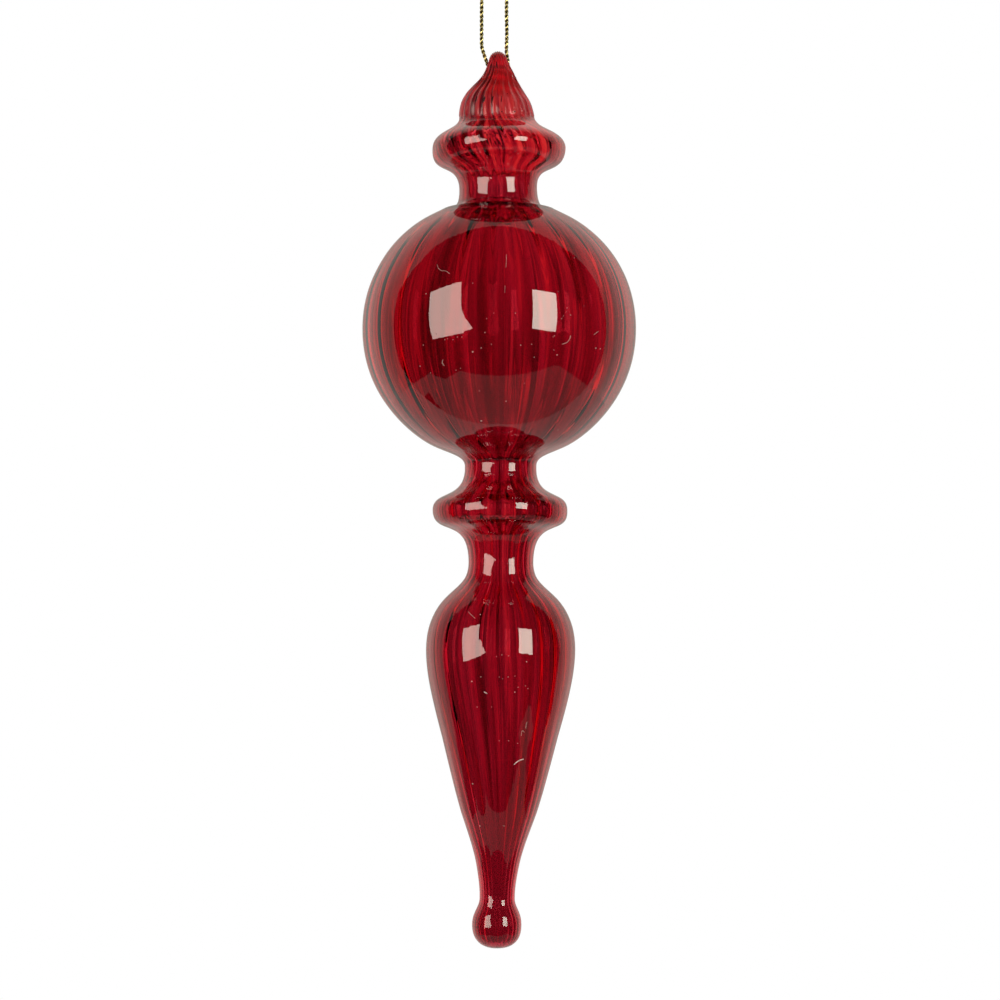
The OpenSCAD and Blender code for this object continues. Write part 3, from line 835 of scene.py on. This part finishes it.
# Surroundings: a pale table below and in front of a white backdrop, in a dark room
def lamp_outlines():
    """Corners of the soft lamps as seen from the glass: degrees round from the camera, and up"""
    left = [(-64, 25), (-38, 36.5), (-29, -5), (-57.5, -8.8)]
    # One low corner of the left lamp's cloth is pulled out.
    corner = [(-32, 13), (-21.5, -2), (-34, -5.6)]
    right = [(30.5, 30), (52, 25), (48.3, -4), (27, -1.7)]

    def way(az, el):
        a, e = math.radians(az), math.radians(el)
        return np.array([math.sin(a) * math.cos(e), -math.cos(a) * math.cos(e), math.sin(e)])

    return [[way(*c) for c in outline] for outline in (left, corner, right)]


def make_world():
    world = bpy.data.worlds.new("studio")
    scene.world = world
    world.use_nodes = True
    s = Shader(world.node_tree)
    way = s.node("ShaderNodeTexCoord").outputs["Generated"]
    x, y, z = s.parts(way)
    past = s.math("SUBTRACT", y, s.math("MAXIMUM", s.backdrop_edge(x), s.math("MULTIPLY", z, 0.18)))
    soft_edge = 0.004
    white = s.ramp(past, -soft_edge, soft_edge)

    def lamp(corners):
        inside = None
        middle = unit(sum(corners))
        for a, b in zip(corners, corners[1:] + corners[:1]):
            n = unit(np.cross(a, b))
            n = n if n.dot(middle) > 0 else -n
            dot = s.node("ShaderNodeVectorMath", {0: way, 1: tuple(n)}, operation="DOT_PRODUCT")
            part = s.ramp(dot.outputs["Value"], -soft_edge, soft_edge)
            inside = part if inside is None else s.math("MULTIPLY", inside, part)
        return inside

    left, corner, right = (lamp(outline) for outline in lamp_outlines())
    left = s.math("MAXIMUM", left, corner)
    # The right lamp is the brighter one.
    lamps = s.math("ADD", s.math("MULTIPLY", left, 8.6), s.math("MULTIPLY", right, 12.5))
    # The backdrop is brightest to the sides behind the glass, and dimmer right behind it and out at
    # its edge.
    back = s.math("MULTIPLY", s.ramp(y, 0.2, 0.72, 0.44, 0.86, smooth=True),
                  s.ramp(y, 0.78, 0.97, 1.0, 0.55, smooth=True))
    # What polished surfaces mirror: the backdrop, a dark room and the lamps
    mirrored = s.math("ADD", s.math("MULTIPLY", white, back), s.math("ADD", lamps, 0.012))
    # What shows through the glass: the backdrop, and the room as a lit one
    through = s.math("ADD", s.ramp(past, -0.25, 0.05, 0.66, 1.0), s.math("MULTIPLY", lamps, 0.35))
    # What lights plain surfaces
    lit = s.math("ADD", s.ramp(past, -0.3, 0.1, 0.35, 1.0), s.math("MULTIPLY", lamps, 0.28))
    rays = s.node("ShaderNodeLightPath").outputs
    glossy, passing, seen = (rays[k] for k in ("Is Glossy Ray", "Is Transmission Ray", "Is Camera Ray"))
    value = s.mix(passing, s.mix(glossy, lit, mirrored), through)
    warm = s.mix(left, (0.93, 0.93, 0.8, 1), (1.0, 0.83, 0.73, 1))
    plain = s.mix(glossy, (1, 1, 1, 1), (1.0, 0.985, 0.88, 1))
    tint = s.mix(s.math("MINIMUM", lamps, 1.0), plain, warm)
    shown = s.mix(seen, s.mix(1.0, value, tint, "MULTIPLY"), (1, 1, 1, 1))
    ground = s.node("ShaderNodeBackground", {"Color": shown, "Strength": 1.0})
    s.node("ShaderNodeOutputWorld", {"Surface": ground.outputs[0]})
    world.cycles.sampling_method = "MANUAL"
    world.cycles.sample_map_resolution = 1024


make_world()


def make_floor():
    """The table, at h below the middle of the ball: its corners and its looks are in units of h"""
    h, thickness = 0.8, 0.012
    z = -0.104 - h
    corners = [(-0.85, -1.06), (1.36, -1.07), (1.5, -0.93), (1.5, 2.9), (-1.5, 2.9), (-1.47, -0.5),
               (-1.0, -0.62)]
    points = [(x * h, y * h, level) for level in (z, z - thickness) for x, y in corners]
    n = len(corners)
    faces = [tuple(range(n)), tuple(range(n, 2 * n))[::-1]]
    faces += [(i, n + i, n + (i + 1) % n, (i + 1) % n) for i in range(n)]
    material, s = new_material("pale_table")
    place = s.node("ShaderNodeTexCoord").outputs["Object"]
    grain = s.noise(place, 300.0, 3.0)
    colour = s.mix(s.ramp(grain, 0.3, 0.7), (0.80, 0.80, 0.80, 1), (0.84, 0.84, 0.84, 1))
    surface = s.node("ShaderNodeBsdfPrincipled", {
        "Base Color": colour, "Roughness": 0.8, "Specular IOR Level": 0.2})
    # Painted reflection: for glossy rays the table glows, dim at the front and brighter where the lit
    # sweep of the backdrop lies behind it, so polished surfaces mirror these.
    x, y, _ = s.parts(place)
    past = s.math("SUBTRACT", y, s.backdrop_edge(x))
    swept = s.math("MULTIPLY", s.ramp(past, -0.002 * h, 0.002 * h), s.ramp(y, 0.0, 1.2 * h, 0.3, 0.42))
    shown = s.math("ADD", s.ramp(x, -1.0 * h, 0.6 * h, 0.36, 0.27), swept)
    # The painted reflection is left dark in a gap between the table's far left corner and the sweep.
    gap = s.math("ADD", y, s.math("MULTIPLY_ADD", x, -0.355, -0.353 * h))
    gap = s.math("GREATER_THAN", gap, 0.0)
    for part in (s.math("LESS_THAN", past, 0.0), s.math("GREATER_THAN", x, -1.04 * h),
                 s.math("LESS_THAN", x, -0.7 * h)):
        gap = s.math("MULTIPLY", gap, part)
    shown = s.math("MULTIPLY", shown, s.math("MULTIPLY_ADD", gap, -0.97, 1.0))
    mirrored = s.node("ShaderNodeEmission", {"Color": (1.0, 0.985, 0.9, 1), "Strength": shown})
    # Straight to the camera the table is close to white, and keeps the bauble's shadow.
    glow = s.node("ShaderNodeEmission", {"Color": (1, 1, 1, 1), "Strength": 0.62})
    dull = s.node("ShaderNodeBsdfDiffuse", {"Color": (0.5, 0.5, 0.5, 1)})
    pale = s.node("ShaderNodeAddShader", {0: glow.outputs[0], 1: dull.outputs[0]})
    rays = s.node("ShaderNodeLightPath").outputs
    seen = surface.outputs[0]
    looks = {"Is Glossy Ray": mirrored, "Is Transmission Ray": surface, "Is Camera Ray": pale}
    for kind, look in looks.items():
        seen = s.node("ShaderNodeMixShader", {0: rays[kind], 1: seen, 2: look.outputs[0]}).outputs[0]
    s.node("ShaderNodeOutputMaterial", {"Surface": seen})
    floor = new_object("pale_table", points, faces, [material], smooth=False)


make_floor()
